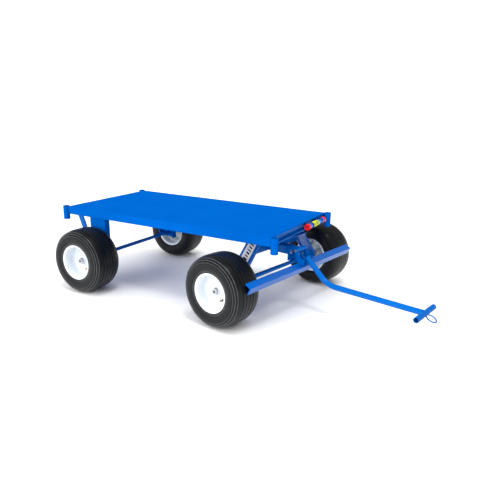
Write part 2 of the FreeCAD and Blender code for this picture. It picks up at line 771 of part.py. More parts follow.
def make_tongue_yoke():
    """Two three-cornered cheeks from the knuckles down to the brake bar, and the plate between them."""
    body = new_body("tongue_yoke", STEERED)
    top = pivot_z - 2
    on_bar_back = (bar_x - bar_leg * cos_of(bar_tilt), bar_z + bar_leg * sin_of(bar_tilt))
    on_bar_front = (bar_x - bar_leg * 0.45 * cos_of(bar_tilt), bar_z + bar_leg * 0.45 * sin_of(bar_tilt))
    points = [(pivot_x - 10, top), (pivot_x + 10, top), (bar_x - 16, bar_z + 50), (bar_x + 8, bar_z + 50),
              (bar_x + 8, bar_z + 24), on_bar_front, on_bar_back]
    for side in (1, -1):
        middle = (knuckle_outer - cheek_thick / 2) * side
        pad_outline(body, "XZ_Plane", points, middle, cheek_thick, midplane=True)
    sketch = new_sketch(body, "XZ_Plane")
    add_circle(sketch, (pivot_x, pivot_z), knuckle_radius + 0.02)
    pocket(body, sketch, knuckle_outer * 3)
    web = box_points(pivot_x - 4, pivot_x + 2, on_bar_back[1] + 8, pivot_z - 17)
    pad_outline(body, "XZ_Plane", web, 0, (knuckle_outer - cheek_thick) * 2, midplane=True)


def make_tongue_gusset():
    """An upright plate under the tube's steep part, from the yoke's plate to the brake bar."""
    body = new_body("tongue_gusset", STEERED)
    drop = tan_of(tongue_slope)
    tube_under = tube_radius / cos_of(tongue_slope)
    front_x = bar_x + 2
    back_x = pivot_x + 2

    def under_tube(x):
        return tongue_start_z - (x - tongue_start_x) * drop - tube_under - 0.05

    on_bar_back = (bar_x - bar_leg * 0.85 * cos_of(bar_tilt), bar_z + bar_leg * 0.85 * sin_of(bar_tilt))
    points = [(back_x, on_bar_back[1] + 10), on_bar_back, (bar_x, bar_z), (front_x, under_tube(front_x)),
              (tongue_start_x - 8, under_tube(tongue_start_x - 8)), (back_x, pivot_z - 20)]
    pad_outline(body, "XZ_Plane", points, 0, 8, midplane=True)


def make_brake_bar():
    """Angle iron across both front tyres, its open side facing the axle."""
    body = new_body("brake_bar", STEERED)
    along = (-cos_of(bar_tilt), sin_of(bar_tilt))
    down = (-sin_of(bar_tilt), -cos_of(bar_tilt))

    def corner(a, b):
        return (bar_x + along[0] * a + down[0] * b, bar_z + along[1] * a + down[1] * b)

    points = [corner(0, 0), corner(bar_leg, 0), corner(bar_leg, bar_wall), corner(bar_wall, bar_wall),
              corner(bar_wall, bar_leg), corner(0, bar_leg)]
    pad_outline(body, "XZ_Plane", points, 0, bar_half * 2, midplane=True)


knee_z = tongue_start_z - (tongue_knee_x - tongue_start_x) * tan_of(tongue_slope)
handle_z = knee_z - (handle_x - tongue_knee_x) * tan_of(tongue_droop)


def make_tongue_tube():
    """A tube that drops steeply from the hinge and then runs nearly level to the handle."""
    body = new_body("tongue_tube", STEERED)
    half_turn = (tongue_slope - tongue_droop) / 2
    tangent = tongue_bend * tan_of(half_turn)
    first = (tongue_knee_x - tangent * cos_of(tongue_slope), knee_z + tangent * sin_of(tongue_slope))
    second = (tongue_knee_x + tangent * cos_of(tongue_droop), knee_z - tangent * sin_of(tongue_droop))
    reach = handle_x - handle_radius * 0.6
    last = (reach, knee_z - (reach - tongue_knee_x) * tan_of(tongue_droop))
    start = (tongue_start_x, tongue_start_z)
    centre = (first[0] + tongue_bend * sin_of(tongue_slope), first[1] + tongue_bend * cos_of(tongue_slope))
    path = new_sketch(body, "XZ_Plane")
    spots = [Vector(p[0].value, p[1].value, 0) for p in (start, first, second, last, centre)]
    one = path.addGeometry(Part.LineSegment(spots[0], spots[1]), False)
    circle = Part.Circle(spots[4], Vector(0, 0, 1), tongue_bend.value)
    angles = [math.atan2(spots[i].y - spots[4].y, spots[i].x - spots[4].x) for i in (1, 2)]
    arc = path.addGeometry(Part.ArcOfCircle(circle, angles[0], angles[1]), False)
    two = path.addGeometry(Part.LineSegment(spots[2], spots[3]), False)
    path.addConstraint(Sketcher.Constraint("Coincident", one, 2, arc, 1))
    path.addConstraint(Sketcher.Constraint("Coincident", arc, 2, two, 1))
    pin_point(path, one, 1, start)
    pin_point(path, one, 2, first)
    pin_point(path, two, 1, second)
    pin_point(path, two, 2, last)
    index = path.addConstraint(Sketcher.Constraint("Radius", arc, tongue_bend.value))
    path.setExpression(f"Constraints[{index}]", tongue_bend.text)
    section = new_sketch(body, "XZ_Plane")
    spin = Rotation(Vector(0, 0, 1), -tongue_slope.value) * Rotation(Vector(0, 1, 0), 90)
    section.AttachmentOffset = Placement(spots[0], spin)
    section.setExpression(".AttachmentOffset.Base.x", start[0].text)
    section.setExpression(".AttachmentOffset.Base.y", start[1].text)
    add_circle(section, (0, 0), tube_radius)
    add_circle(section, (0, 0), tube_radius - tube_wall)
    pipe = body.newObject("PartDesign::AdditivePipe", "tongue_sweep")
    pipe.Profile = section
    pipe.Spine = path
    doc.recompute()
    cut_round(body, "XZ_Plane", (handle_x, handle_z), handle_radius + 0.02, 0, handle_half)


def make_tow_handle():
    body = new_body("tow_handle", STEERED)
    centre = (handle_x, handle_z)
    pad_ring(body, "XZ_Plane", centre, handle_radius, handle_radius - tube_wall, 0, handle_half * 2, midplane=True)


def make_hitch_ring():
    """A round-rod ring that leans forward and down from under the handle, notched to sit on it."""
    ring = doc.addObject("Part::Torus", "ring_whole")
    ring.setExpression("Radius1", ring_radius.text)
    ring.setExpression("Radius2", ring_rod.text)
    ring.Placement = Placement(Vector(0, 0, 0), Rotation(Vector(0, 1, 0), ring_tilt.value))
    ring.setExpression("Placement.Base.x", (handle_x + ring_reach).text)
    ring.setExpression("Placement.Base.z", (handle_z - ring_drop).text)
    seat = doc.addObject("Part::Cylinder", "ring_seat")
    seat.setExpression("Radius", handle_radius.text)
    seat.setExpression("Height", (handle_half * 2).text)
    seat.Placement = Placement(Vector(0, 0, 0), Rotation(Vector(1, 0, 0), -90))
    seat.setExpression("Placement.Base.x", handle_x.text)
    seat.setExpression("Placement.Base.y", (-handle_half).text)
    seat.setExpression("Placement.Base.z", handle_z.text)
    notched = doc.addObject("Part::Cut", "hitch_ring")
    notched.Label = "hitch_ring"
    notched.Base = ring
    notched.Tool = seat
    put(notched, STEERED)
    parts.append(notched)


# ---------------------------------------------------------------- the document tube on the deck's front

def holder_points():
    return (holder_x, holder_z)


def make_document_tube():
    body = new_body("document_tube", CHASSIS)
    middle = -(holder_near + holder_far) / 2
    inner = holder_radius - holder_wall
    pad_ring(body, "XZ_Plane", holder_points(), holder_radius, inner, middle, holder_far - holder_near, midplane=True)


def make_cap(label, end, outward):
    """A push-on cap over the end of the document tube; outward is +1 at the left end."""
    body = new_body(label, CHASSIS)
    gap = as_size(0.1)
    skirt_middle = end - (cap_length / 2 - gap) * outward
    pad_ring(body, "XZ_Plane", holder_points(), holder_radius + cap_wall, holder_radius + gap / 2,
             -skirt_middle, cap_length, midplane=True)
    lid_middle = end + (gap + cap_wall / 2) * outward
    pad_ring(body, "XZ_Plane", holder_points(), holder_radius + cap_wall, None, -lid_middle, cap_wall, midplane=True)


def make_tube_clips():
    """Two bands round the document tube, each with a foot on the end channel's web."""
    body = new_body("tube_clips", CHASSIS)
    band = 3
    web = half_length - channel_flange + channel_wall
    for share in (0.24, 0.80):
        middle = -(holder_near + (holder_far - holder_near) * share)
        foot = box_points(web, holder_x, holder_z - 5, holder_z + 5)
        pad_outline(body, "XZ_Plane", foot, middle, 12, midplane=True)
        sketch = new_sketch(body, "XZ_Plane", middle)
        add_circle(sketch, holder_points(), holder_radius + band)
        pad(body, sketch, 12, midplane=True)
    cut_round(body, "XZ_Plane", holder_points(), holder_radius + 0.02, 0, deck_width)


# ---------------------------------------------------------------- assembly

make_deck_plate()
make_side_channel("side_channel_left", 1)
make_side_channel("side_channel_right", -1)
make_end_channel("end_channel_front", 1)
make_end_channel("end_channel_rear", -1)
make_cross_members()
make_corner_sockets()
for side_name, side_sign in (("left", 1), ("right", -1)):
    make_rear_leg(f"rear_leg_{side_name}", side_sign)
    make_rear_brace(f"rear_brace_{side_name}", side_sign)
make_axle("rear_axle", CHASSIS, rear_axle_x, rear_half_track)
make_axle_hardware("rear_axle_hardware", CHASSIS, rear_axle_x, rear_half_track, rear_leg_outer)
make_turntable_plate("turntable_top_plate", KING_PIN, race_high)
make_race("upper_race", KING_PIN, ball_z + race_gap / 2, race_high)
make_king_pin()
make_king_nut()
make_document_tube()
make_cap("document_tube_end", holder_far, 1)
make_cap("document_tube_cap", holder_near, -1)
make_tube_clips()

make_race("lower_race", STEERED, race_low, ball_z - race_gap / 2)
make_balls()
make_turntable_plate("turntable_bottom_plate", STEERED, bolster_top)
make_bolster()
make_front_leg("front_leg_left", 1)
make_front_leg("front_leg_right", -1)
make_axle_end_plates()
make_cross_tie()
make_drawbar_beam()
make_beam_hanger()
make_hinge_bracket()
make_hex_bolts("hinge_bolts", STEERED, beam_front + 8, pivot_z - 28, 23, 13, 6)
make_hinge_pin()
make_axle("front_axle", STEERED, 0, front_half_track)
make_axle_hardware("front_axle_hardware", STEERED, 0, front_half_track, front_leg_end + end_plate_thick)

make_tongue_knuckles()
make_tongue_yoke()
make_hex_bolts("yoke_bolts", STEERED, pivot_x + 2, pivot_z - 29, 22, 13, 6)
make_tongue_gusset()
make_brake_bar()
make_tongue_tube()
make_tow_handle()
make_hitch_ring()

for wheel_end in ("rear", "front"):
    for wheel_side in (1, -1):
        make_wheel(wheel_end, wheel_side)

doc.recompute()
faults = [o.Name for o in doc.Objects if "Invalid" in o.State or "Error" in o.State]
if faults:
    raise RuntimeError(f"objects that failed: {faults}")
os.makedirs("parts", exist_ok=True)
for part in parts:
    shape = part.Shape
    if shape.isNull() or not shape.isValid() or shape.Volume <= 0:
        raise RuntimeError(f"{part.Label} has no valid shape")
for part in parts:
    part.Shape.exportStep(f"parts/{part.Label}.step")
    print(f"{part.Label}: {len(part.Shape.Solids)} solids, {part.Shape.Volume / 1000:.1f} cm3")
print(len(parts), "nodes")
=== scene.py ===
import json
import math
import random

import bpy
import bmesh
from mathutils import Matrix, Vector


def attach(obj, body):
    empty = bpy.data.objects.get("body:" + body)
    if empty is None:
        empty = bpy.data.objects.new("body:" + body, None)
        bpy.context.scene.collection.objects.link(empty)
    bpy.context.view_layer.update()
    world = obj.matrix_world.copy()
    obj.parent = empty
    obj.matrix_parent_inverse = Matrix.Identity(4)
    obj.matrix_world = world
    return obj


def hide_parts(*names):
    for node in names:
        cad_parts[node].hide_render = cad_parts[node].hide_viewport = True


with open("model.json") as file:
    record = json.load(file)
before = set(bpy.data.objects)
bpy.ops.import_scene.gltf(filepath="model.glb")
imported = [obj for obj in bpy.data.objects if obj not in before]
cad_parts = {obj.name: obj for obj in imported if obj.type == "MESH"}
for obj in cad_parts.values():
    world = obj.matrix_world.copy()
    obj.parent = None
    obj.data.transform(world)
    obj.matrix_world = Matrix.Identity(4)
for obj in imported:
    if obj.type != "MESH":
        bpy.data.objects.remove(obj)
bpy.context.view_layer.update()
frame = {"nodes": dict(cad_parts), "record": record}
scene = bpy.context.scene
random.seed(7)

# ---------------------------------------------------------------- sizes shared with the CAD, in metres
DECK_X = -0.394                              # deck centre along X
KING_X = DECK_X + 0.604                      # the pin that the front axle steers about
STEER = math.radians(-10)                    # steering angle in the rest pose
REAR_AXLE_X = DECK_X - 0.510
HALF_TRACK = {"front": 0.489, "rear": 0.480}
TYRE_R = 0.2035
RIM_HALF = 0.097                             # half of the rim's width
LEG_Y = 0.371                                # rear legs and braces, to each side
CHANNEL_Y = 0.3835                           # outer face of the deck's side channels
FRAME_LOW = 0.454                            # underside of the deck frame

SHARP = math.radians(38)                     # turned corners steeper than this are shaded sharp
WHEELS = [(end, name, side) for end in ("rear", "front") for name, side in (("left", 1), ("right", -1))]

steered = Matrix.Translation((KING_X, 0, 0)) @ Matrix.Rotation(STEER, 4, "Z")
chassis = Matrix.Translation((DECK_X, 0, 0))


def wheel_matrix(end, side):
    """The wheel's own frame: +Y is its axis, pointing outwards."""
    base = steered if end == "front" else Matrix.Translation((REAR_AXLE_X, 0, 0))
    place = base @ Matrix.Translation((0, HALF_TRACK[end] * side, TYRE_R))
    return place if side > 0 else place @ Matrix.Rotation(math.pi, 4, "Z")


# ---------------------------------------------------------------- colours and materials
def srgb(r, g, b):
    def lin(c):
        c /= 255
        return c / 12.92 if c <= 0.04045 else ((c + 0.055) / 1.055) ** 2.4
    return (lin(r), lin(g), lin(b), 1)


def darker(colour, share):
    return tuple(c * share for c in colour[:3]) + (1,)


class Nodes:
    """A small helper that builds one material's node tree."""

    def __init__(self, name):
        self.mat = bpy.data.materials.new(name)
        self.mat.use_nodes = True
        self.tree = self.mat.node_tree
        self.tree.nodes.clear()
        surface = self.add("ShaderNodeOutputMaterial")
        self.bsdf = self.add("ShaderNodeBsdfPrincipled")
        self.link(self.bsdf, "BSDF", surface, "Surface")

    def add(self, kind, **values):
        node = self.tree.nodes.new(kind)
        for key, value in values.items():
            if key in node.inputs:
                node.inputs[key].default_value = value
            else:
                setattr(node, key, value)
        return node

    def link(self, a, a_socket, b, b_socket):
        self.tree.links.new(a.outputs[a_socket], b.inputs[b_socket])

    def set(self, **values):
        for key, value in values.items():
            self.bsdf.inputs[key.replace("_", " ")].default_value = value

    def noise(self, scale, detail=2.0, rough=0.5, stretch=None):
        coords = self.add("ShaderNodeTexCoord")
        noise = self.add("ShaderNodeTexNoise", Scale=scale, Detail=detail, Roughness=rough)
        if stretch:
            mapping = self.add("ShaderNodeMapping", Scale=stretch)
            self.link(coords, "Object", mapping, "Vector")
            self.link(mapping, "Vector", noise, "Vector")
        else:
            self.link(coords, "Object", noise, "Vector")
        return noise

    def base_colour(self, source, stops):
        """The base colour runs through stops of (position, colour) as the source's Fac rises."""
        ramp = self.add("ShaderNodeValToRGB")
        while len(ramp.color_ramp.elements) < len(stops):
            ramp.color_ramp.elements.new(0.5)
        for element, (at, colour) in zip(ramp.color_ramp.elements, stops):
            element.position = at
            element.color = colour
        self.link(source, "Fac", ramp, "Fac")
        self.link(ramp, "Color", self.bsdf, "Base Color")

    def roughness(self, source, low, high, start=0.0, end=1.0):
        """Roughness goes from low to high as the source's Fac goes from start to end."""
        span = self.add("ShaderNodeMapRange")
        for socket, value in (("From Min", start), ("From Max", end), ("To Min", low), ("To Max", high)):
            span.inputs[socket].default_value = value
        self.link(source, "Fac", span, "Value")
        self.link(span, "Result", self.bsdf, "Roughness")

    def bump(self, source, strength, distance, edge=None):
        """Fine relief, over edges softened by the radius edge where one is given."""
        bump = self.add("ShaderNodeBump", Strength=strength, Distance=distance)
        self.link(source, "Fac", bump, "Height")
        if edge is not None:
            self.link(self.add("ShaderNodeBevel", samples=4, Radius=edge), "Normal", bump, "Normal")
        self.link(bump, "Normal", self.bsdf, "Normal")


def enamel(name, colour, dark, rough, peel, gloss, coat, edge=0.0012):
    """Paint on steel: a faint colour drift, slight orange peel and softened edges."""
    n = Nodes(name)
    n.base_colour(n.noise(3.2, 3.0), [(0.35, dark), (0.65, colour)])
    n.roughness(n.noise(9.0, 4.0, 0.6), rough, rough + 0.10, 0.35, 0.75)
    n.bump(n.noise(420.0, 1.0), peel, 0.0004, edge)
    n.set(Specular_IOR_Level=gloss, Coat_Weight=coat, Coat_Roughness=0.10)
    return n.mat


def rubber(name, low, middle, high):
    """Rubber with a drift of dust in colour and roughness, and a fine grain."""
    n = Nodes(name)
    dust = n.noise(14.0, 5.0, 0.65)
    n.base_colour(dust, [(0.30, low), (0.62, middle), (0.85, high)])
    n.roughness(dust, 0.22, 0.44)
    n.bump(n.noise(600.0, 2.0), 0.12, 0.0004)
    n.set(Specular_IOR_Level=0.22)
    return n.mat


def plated(name, colour, rough):
    """Bare or plated metal with faint blotches and lengthwise scratches."""
    n = Nodes(name)
    n.base_colour(n.noise(60.0, 3.0), [(0.35, darker(colour, 0.8)), (0.65, colour)])
    n.bump(n.noise(300.0, 2.0, 0.5, (1, 6, 1)), 0.15, 0.0003, 0.0004)
    n.set(Metallic=1.0, Roughness=rough)
    return n.mat


def plastic(name, colour, rough):
    """Moulded plastic, print or a flat painted shade: an even colour and a very fine grain."""
    n = Nodes(name)
    n.base_colour(n.noise(40.0, 2.0), [(0.3, darker(colour, 0.85)), (0.7, colour)])
    n.bump(n.noise(900.0, 1.0), 0.08, 0.0003, 0.0006)
    n.set(Roughness=rough)
    return n.mat


# One blue paint in four versions, chosen for how the pieces look in this light: the frame and tongue, the
# flatter deck and rear legs, the shinier front legs, and the brake bar.
SHINY_BLUES = (0.0003, 0.106, 0.470, 1), (0.0002, 0.100, 0.450, 1)
BLUE = enamel("blue_enamel", (0.0004, 0.112, 0.455, 1), (0.0003, 0.103, 0.427, 1), 0.4, 0.03, gloss=0.0,
              coat=0.25)
DECK_BLUE = enamel("deck_enamel", (0.0003, 0.099, 0.446, 1), (0.0002, 0.093, 0.428, 1), 0.5, 0.02, gloss=0.0,
                   coat=0.0)
LEG_BLUE = enamel("leg_enamel", *SHINY_BLUES, 0.3, 0.02, gloss=0.4, coat=1.0)
BAR_BLUE = enamel("bar_enamel", *SHINY_BLUES, 0.3, 0.02, gloss=0.15, coat=0.5)
WHITE = enamel("white_enamel", srgb(226, 232, 237), srgb(217, 224, 231), 0.18, 0.06, gloss=0.5, coat=0.0,
               edge=0.0008)
RUBBER = rubber("tyre_rubber", srgb(12, 14, 16), srgb(18, 20, 23), srgb(34, 36, 39))
# Light rubber for the mould lines: painted highlights along the tyre's ridges.
HIGHLIGHT_RUBBER = rubber("rubber_painted_highlight", srgb(74, 76, 79), srgb(92, 94, 97), srgb(112, 114, 116))
STEM = plastic("valve_rubber", srgb(24, 24, 25), 0.45)
BRASS = plated("brass_cap", srgb(196, 150, 92), 0.35)
ZINC = plated("zinc_plate", srgb(205, 208, 212), 0.28)
STEEL = plated("bearing_steel", srgb(128, 130, 133), 0.38)
RED = plastic("red_cap", srgb(226, 22, 24), 0.30)
# Darker red for the cap's moulded rings: painted shade in their grooves.
SHADE_RED = plastic("red_painted_shade", srgb(150, 14, 22), 0.40)
# Near-black for the axle ends: painted shade standing for the dark hollow in the hub's end.
SHADE_BLACK = plastic("axle_hole_painted_shade", srgb(16, 17, 20), 0.30)
TUBE = plastic("blue_tube", srgb(0, 100, 210), 0.18)
CLIP = plastic("black_clip", srgb(14, 26, 60), 0.35)
LABEL = plastic("yellow_label", srgb(232, 240, 20), 0.35)
PAPER = plastic("white_decal", srgb(244, 246, 248), 0.30)
INK = plastic("black_ink", srgb(18, 18, 20), 0.40)

SLOT_MATERIAL = {
    "blue_paint": BLUE, "rim_enamel": WHITE, "tyre_rubber": RUBBER, "valve_rubber": STEM,
    "bearing_steel": STEEL, "zinc": ZINC, "tube_plastic": TUBE, "cap_red": RED, "clip_black": CLIP,
}
FLAT_NODES = ("deck_plate", "corner_sockets", "side_channel", "rear_leg")     # node names start with these
SHINY_NODES = {"brake_bar": BAR_BLUE, "front_leg_left": LEG_BLUE, "front_leg_right": LEG_BLUE}
slot_of = {row["node"]: row["material_slot"] for row in frame["record"]["subparts"]}
for node, obj in frame["nodes"].items():
    obj.data.materials.clear()
    if node.startswith(FLAT_NODES):
        obj.data.materials.append(DECK_BLUE)
    else:
        obj.data.materials.append(SHINY_NODES.get(node, SLOT_MATERIAL[slot_of[node]]))


# ---------------------------------------------------------------- mesh helpers
def new_mesh(name, verts, faces, material, smooth=True):
    mesh = bpy.data.meshes.new(name)
    mesh.from_pydata([tuple(v) for v in verts], [], faces)
    mesh.materials.append(material)
    mesh.update()
    if smooth:
        mesh.polygons.foreach_set("use_smooth", [True] * len(mesh.polygons))
    return mesh


def add_object(name, mesh, body, matrix, hide=()):
    """Puts a copy of the mesh in the scene on a body; hide names the CAD nodes that it replaces."""
    mesh = mesh.copy()
    mesh.transform(matrix)
    obj = bpy.data.objects.new(name, mesh)
    scene.collection.objects.link(obj)
    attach(obj, body)
    if hide:
        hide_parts(*hide)


def grid_faces(rows, columns, wrap_rows=False):
    """Quads between neighbouring rows of vertices, each row a closed loop of columns."""
    faces = []
    for i in range(rows if wrap_rows else rows - 1):
        j = (i + 1) % rows
        for k in range(columns):
            m = (k + 1) % columns
            faces.append((i * columns + k, i * columns + m, j * columns + m, j * columns + k))
    return faces


def revolved(name, profile, material, steps):
    """A mesh of a closed (radius, along) profile turned about +Y, with steep corners shaded sharp."""
    verts = []
    for i in range(steps):
        angle = 2 * math.pi * i / steps
        for r, a in profile:
            verts.append((r * math.cos(angle), a, r * math.sin(angle)))
    mesh = new_mesh(name, verts, grid_faces(steps, len(profile), True), material)
    bm = bmesh.new()
    bm.from_mesh(mesh)
    bmesh.ops.recalc_face_normals(bm, faces=bm.faces)
    bm.to_mesh(mesh)
    bm.free()
    mesh.set_sharp_from_angle(angle=SHARP)
    return mesh


def thin_rings(name, rings, material, steps=144, sides=5):
    """Thin rings about +Y, each (radius, along, thickness): mould lines, weld beads and a cap's moulded rings."""
    verts, faces = [], []
    for radius, along, thick in rings:
        base = len(verts)
        for i in range(steps):
            t = 2 * math.pi * i / steps
            for k in range(sides):
                s = 2 * math.pi * k / sides
                r = radius + thick * math.cos(s)
                verts.append((r * math.cos(t), along + thick * math.sin(s), r * math.sin(t)))
        faces += [tuple(base + v for v in face) for face in grid_faces(steps, sides, True)]
    return new_mesh(name, verts, faces, material)


def join_meshes(name, meshes):
    bm = bmesh.new()
    for mesh in meshes:
        bm.from_mesh(mesh)
    joined = bpy.data.meshes.new(name)
    bm.to_mesh(joined)
    bm.free()
    joined.materials.append(meshes[0].materials[0])
    joined.set_sharp_from_angle(angle=SHARP)
    return joined


def rounded(points, radius, steps):
    """Rounds the corners of an open list of (r, a) points."""
    out = [points[0]]
    for before, at, after in zip(points, points[1:], points[2:]):
        p, q, s = Vector(before), Vector(at), Vector(after)
        one, two = (p - q), (s - q)
        cut = min(radius, one.length * 0.45, two.length * 0.45)
        a, b = q + one.normalized() * cut, q + two.normalized() * cut
        for i in range(steps + 1):
            t = i / steps
            out.append(tuple((a * (1 - t) + q * t) * (1 - t) + (q * (1 - t) + b * t) * t))
    out.append(points[-1])
    return out


def smooth_curve(points, steps):
    """A Catmull-Rom curve through (r, a) points."""
    pts = [Vector(p) for p in points]
    pts = [pts[0] * 2 - pts[1]] + pts + [pts[-1] * 2 - pts[-2]]
    out = []
    for i in range(1, len(pts) - 2):
        p0, p1, p2, p3 = pts[i - 1], pts[i], pts[i + 1], pts[i + 2]
        for k in range(steps):
            t = k / steps
            out.append(tuple(0.5 * ((2 * p1) + (p2 - p0) * t + (2 * p0 - 5 * p1 + 4 * p2 - p3) * t * t
                                    + (3 * p1 - p0 - 3 * p2 + p3) * t ** 3)))
    out.append(tuple(pts[-2]))
    return out


def mirror(points):
    """The same (r, a) points on the other side of the wheel, in reverse order."""
    return [(r, -a) for r, a in reversed(points)]


# ---------------------------------------------------------------- tyres
RIBS = 6                   # tread ribs across the tyre
TREAD_HALF = 0.0770
GROOVE_EDGE = 0.0024       # from a groove's middle to the rib's edge
GROOVE_DEPTH = 0.0050


def crown_radius(along):
    """The tread's radius, which drops towards the shoulders."""
    return TYRE_R - 0.0077 * (abs(along) / 0.0760) ** 4.1


def tyre_profile():
    """Outer skin from the outboard bead over the tread to the other bead, then back along the inside."""
    side = [(0.1055, 0.0880), (0.1100, 0.0922), (0.1145, 0.0935), (0.1200, 0.0965), (0.1280, 0.0996),
            (0.1400, 0.1019), (0.1540, 0.1024), (0.1640, 0.1013), (0.1730, 0.0990), (0.1805, 0.0957),
            (0.1865, 0.0912), (0.1908, 0.0860), (0.1942, 0.0800)]
    outer = smooth_curve(side, 5)
    crown = []
    for i in range(RIBS):
        lo = TREAD_HALF - 2 * TREAD_HALF * i / RIBS
        hi = TREAD_HALF - 2 * TREAD_HALF * (i + 1) / RIBS
        for a in (lo - GROOVE_EDGE, (lo + hi) / 2, hi + GROOVE_EDGE):
            crown.append((crown_radius(a), a))
        if i < RIBS - 1:
            r = crown_radius(hi) - GROOVE_DEPTH
            crown.append((r, hi + GROOVE_EDGE * 0.5))
            crown.append((r, hi - GROOVE_EDGE * 0.5))
    inner = [(0.1045, -0.080), (0.118, -0.070), (0.150, -0.088), (0.175, -0.083), (0.190, -0.045),
             (0.190, 0.045), (0.175, 0.083), (0.150, 0.088), (0.118, 0.070), (0.1045, 0.080)]
    return outer + crown + mirror(outer) + inner


tyre_mesh = revolved("tyre_skin", tyre_profile(), RUBBER, 144)
# Thin raised lines on the sidewall and shoulder, in the light rubber: painted highlights where the ridges would
# catch the light.
mould_lines = thin_rings("mould_lines", [
    (0.1185, 0.0952, 0.0013), (0.1240, 0.0978, 0.0010), (0.1690, 0.0990, 0.0018), (0.1818, 0.0940, 0.0020),
    (0.1918, 0.0834, 0.0020)], HIGHLIGHT_RUBBER)


# ---------------------------------------------------------------- rims
def rim_profile():
    """The barrel: its skin with a rolled lip at each end, then the underside of the sheet."""
    h = RIM_HALF
    face = [(0.1085, h - 0.0010), (0.1105, h), (0.1117, h - 0.0016), (0.1120, h - 0.0042), (0.1095, h - 0.0042),
            (0.1050, h - 0.0042), (0.1010, h - 0.0082)]
    well = [(0.1010, 0.0440), (0.0995, 0.0400), (0.0890, 0.0335), (0.0880, 0.0300)]
    skin = face + well
    under = [(0.1065, h - 0.0012), (0.1020, h - 0.0022), (0.0978, h - 0.0065), (0.0970, h - 0.012),
             (0.0970, 0.0430), (0.0955, 0.0385), (0.0855, 0.0320), (0.0840, 0.0290)]
    return rounded(skin + mirror(skin), 0.0008, 2) + list(reversed(under + mirror(under)))


def disc_profile():
    """The dished disc between the barrel and the hub: its outboard face, then its back."""
    front = [(0.0850, 0.0335), (0.0790, 0.0305), (0.0720, 0.0260), (0.0655, 0.0205), (0.0610, 0.0192),
             (0.0480, 0.0190), (0.0430, 0.0205), (0.0330, 0.0325), (0.0290, 0.0342), (0.0235, 0.0342)]
    back = [(0.0235, 0.0302), (0.0275, 0.0300), (0.0410, 0.0165), (0.0465, 0.0150), (0.0620, 0.0150),
            (0.0680, 0.0170), (0.0850, 0.0290)]
    return rounded(front, 0.0040, 4) + rounded(back, 0.002, 2)


HUB_PROFILE = [(0.0205, 0.0460), (0.0232, 0.0460), (0.0240, 0.0452), (0.0240, -0.0452), (0.0232, -0.0460),
               (0.0205, -0.0460), (0.0200, -0.0455), (0.0200, 0.0455)]

hub_weld = thin_rings("hub_weld", [(0.0250, 0.0352, 0.0018), (0.0845, 0.0338, 0.0016)], WHITE)
rim_mesh = join_meshes("rim_shell", [revolved("rim_barrel", rim_profile(), WHITE, 128),
                                     revolved("rim_disc", disc_profile(), WHITE, 128),
                                     revolved("rim_hub", HUB_PROFILE, WHITE, 96), hub_weld])

for end, name, side in WHEELS:
    tag = f"{end}_{name}"
    place = wheel_matrix(end, side)
    add_object(f"tyre_skin_{tag}", tyre_mesh, f"wheel_{tag}", place, [f"tyre_{tag}"])
    add_object(f"tyre_mould_lines_{tag}", mould_lines, f"wheel_{tag}", place)
    add_object(f"rim_shell_{tag}", rim_mesh, f"wheel_{tag}", place, [f"rim_{tag}"])

# ---------------------------------------------------------------- axle ends and valve caps
SMALL_STEPS = 28
AXLE_END = [(0.0004, 0.0003), (0.0073, 0.0003), (0.0073, 0.0), (0.0004, 0.0)]
AXLE_END_OUT = 0.0569      # the axle's end face, out from the wheel's middle
VALVE_CAP = [(0.0004, 0.0112), (0.0034, 0.0112), (0.0045, 0.0100), (0.0045, 0.0004), (0.0041, 0.0),
             (0.0004, 0.0)]

for end, name, side in WHEELS:
    tag = f"{end}_{name}"
    place = wheel_matrix(end, side)
    held_by = "chassis" if end == "rear" else "steering_frame"
    axle_seat = place @ Matrix.Translation((0, AXLE_END_OUT, 0))
    # The axle end is a thin near-black disc: painted shade in the hole at the hub's end.
    add_object(f"axle_end_{tag}", revolved(f"axle_end_{tag}", AXLE_END, SHADE_BLACK, SMALL_STEPS), held_by,
               axle_seat)
    valve_seat = place @ Matrix.Translation((0.0295 * side, 0.0352, -0.05133))
    add_object(f"valve_cap_{tag}", revolved(f"valve_cap_{tag}", VALVE_CAP, BRASS, SMALL_STEPS),
               f"wheel_{tag}", valve_seat)


# ---------------------------------------------------------------- weld beads
def weld(name, start, stop, radius):
    """A rippled bead of blue paint on the chassis, along a straight seam."""
    a, b = Vector(start), Vector(stop)
    count = max(2, int((b - a).length / (radius * 0.55)))
    path = [a.lerp(b, i / count) for i in range(count)] + [b]
    last = len(path) - 1
    sides = 8
    verts = []
    for i, p in enumerate(path):
        q = (path[min(i + 1, last)] - path[max(i - 1, 0)]).to_track_quat("Z", "Y")
        swell = radius * (0.82 + 0.18 * abs(math.sin(i * 0.9)) + random.uniform(-0.05, 0.05))
        if i in (0, last):
            swell *= 0.35
        for k in range(sides):
            t = 2 * math.pi * k / sides
            verts.append(p + q @ Vector((swell * math.cos(t), swell * math.sin(t), 0)))
    faces = grid_faces(len(path), sides)
    faces.append(tuple(range(sides)))
    faces.append(tuple(reversed(range(last * sides, (last + 1) * sides))))
    add_object(name, new_mesh(name, verts, faces, BLUE), "chassis", chassis)


for name, side in (("left", 1), ("right", -1)):
    y = LEG_Y * side
    weld(f"weld_rear_leg_{name}", (-0.575, y, FRAME_LOW), (-0.445, y, FRAME_LOW), 0.0026)
    weld(f"weld_rear_brace_{name}", (-0.685, y, FRAME_LOW), (-0.644, y, FRAME_LOW), 0.0024)
    weld(f"weld_brace_foot_{name}", (-0.575, y, 0.176), (-0.575, y, 0.262), 0.0024)
    for end, x in (("front", 0.7625), ("rear", -0.7625)):
        y_socket = CHANNEL_Y * side
        weld(f"weld_socket_{end}_{name}", (x, y_socket, 0.503), (x, y_socket, 0.458), 0.0022)

